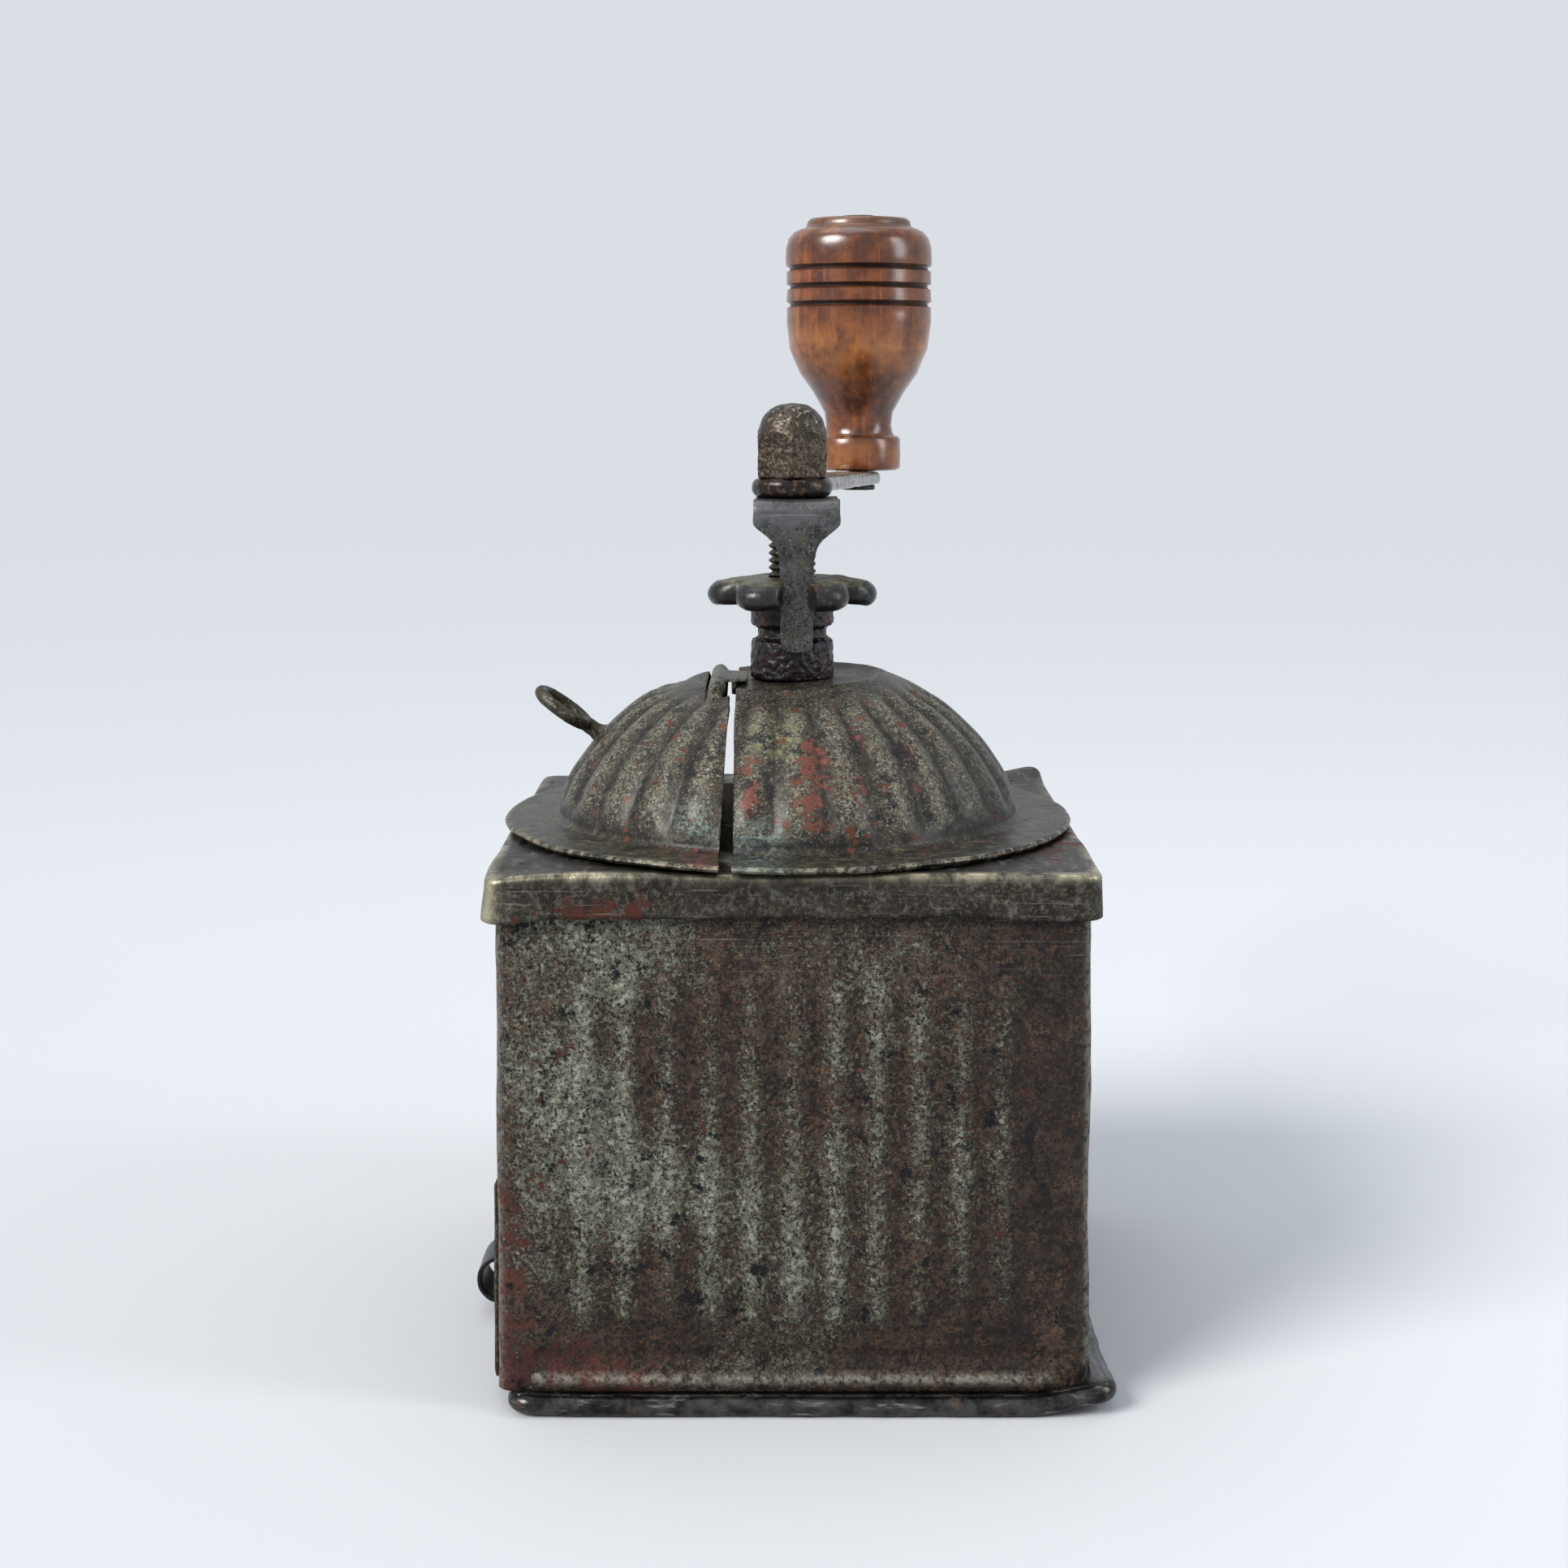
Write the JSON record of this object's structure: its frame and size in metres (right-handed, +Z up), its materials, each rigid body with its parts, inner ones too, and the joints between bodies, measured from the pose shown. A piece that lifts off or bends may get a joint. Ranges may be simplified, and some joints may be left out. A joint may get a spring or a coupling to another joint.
{
  "type": "hand crank coffee grinder",
  "caption": "Sheet metal box coffee mill with a domed hopper, a hinged lid segment, a side drawer, a star adjusting nut and a hand crank with a turned wooden knob.",
  "frame": {"origin": "on the spindle axis at table level, on the flat underside of the base plate's pressed panel", "axes": "+Z up along the spindle, +Y from the front towards the knob at rest, -X towards the drawer and the lid"},
  "size_m": [0.1253, 0.1921, 0.2344],
  "materials": {
    "body_paint": "worn speckled paint over rusting tin plate",
    "cover_tin": "rubbed dark tin plate with a bright worn edge",
    "dome_tin": "rusty tin plate with paint remains",
    "base_tin": "dark gunmetal tin plate",
    "inner_tin": "dull bare tin plate",
    "solder": "rough dull solder",
    "cast_black": "lumpy glossy black casting",
    "burr_iron": "machined grey iron",
    "nut_steel": "rusted dark steel with dust",
    "spindle_steel": "rusted screw thread",
    "strip_steel": "grey sheet steel",
    "arm_steel": "worn plated steel",
    "acorn_steel": "tarnished plated steel",
    "knob_wood": "varnished turned wood",
    "pull_black": "smooth black enamel",
    "small_steel": "plain steel"
  },
  "bodies": {
    "housing": {"base_plate": "base_tin", "body_front": "body_paint", "body_back": "body_paint", "body_right": "body_paint", "body_left": "body_paint", "top_cover": "cover_tin", "hopper_bowl": "inner_tin", "dome_shell": "dome_tin", "dome_seam_bead": "solder", "crown_hinge_leaf": "small_steel", "hinge_pin": "small_steel", "spindle_collar": "cast_black", "collar_nut": "small_steel", "outer_burr": "burr_iron", "bearing_bridge": "small_steel", "burr_screws": "small_steel", "burr_nuts": "small_steel", "drawer_guides": "inner_tin"},
    "adjuster": {"star_nut": "nut_steel"},
    "crank": {"spindle": "spindle_steel", "inner_burr": "burr_iron", "burr_nut": "small_steel", "lock_strip": "strip_steel", "crank_arm": "arm_steel", "acorn_nut": "acorn_steel", "knob_pin": "small_steel"},
    "knob": {"knob": "knob_wood"},
    "lid": {"lid_shell": "dome_tin", "lid_hinge_leaf": "small_steel", "lid_ring": "small_steel"},
    "drawer": {"drawer_box": "inner_tin", "drawer_front": "body_paint", "drawer_pull": "pull_black", "pull_rivets": "small_steel"}
  },
  "joints": [
    {"name": "crank_spin", "type": "hinge", "parent": "housing", "child": "adjuster", "pos_m": [0, 0, 0.1465], "axis": [0, 0, 1], "continuous": true},
    {"name": "burr_gap", "type": "slide", "parent": "adjuster", "child": "crank", "axis": [0, 0, 1], "range_m": [0, 0.0015]},
    {"name": "knob_spin", "type": "hinge", "parent": "crank", "child": "knob", "pos_m": [0.0173, 0.114, 0.2], "axis": [0, 0, 1], "continuous": true},
    {"name": "lid_hinge", "type": "hinge", "parent": "housing", "child": "lid", "pos_m": [-0.0152, 0, 0.1302], "axis": [0, 1, 0], "range_deg": [0, 60]},
    {"name": "drawer_slide", "type": "slide", "parent": "housing", "child": "drawer", "axis": [-1, 0, 0], "range_m": [0, 0.08]}
  ]
}
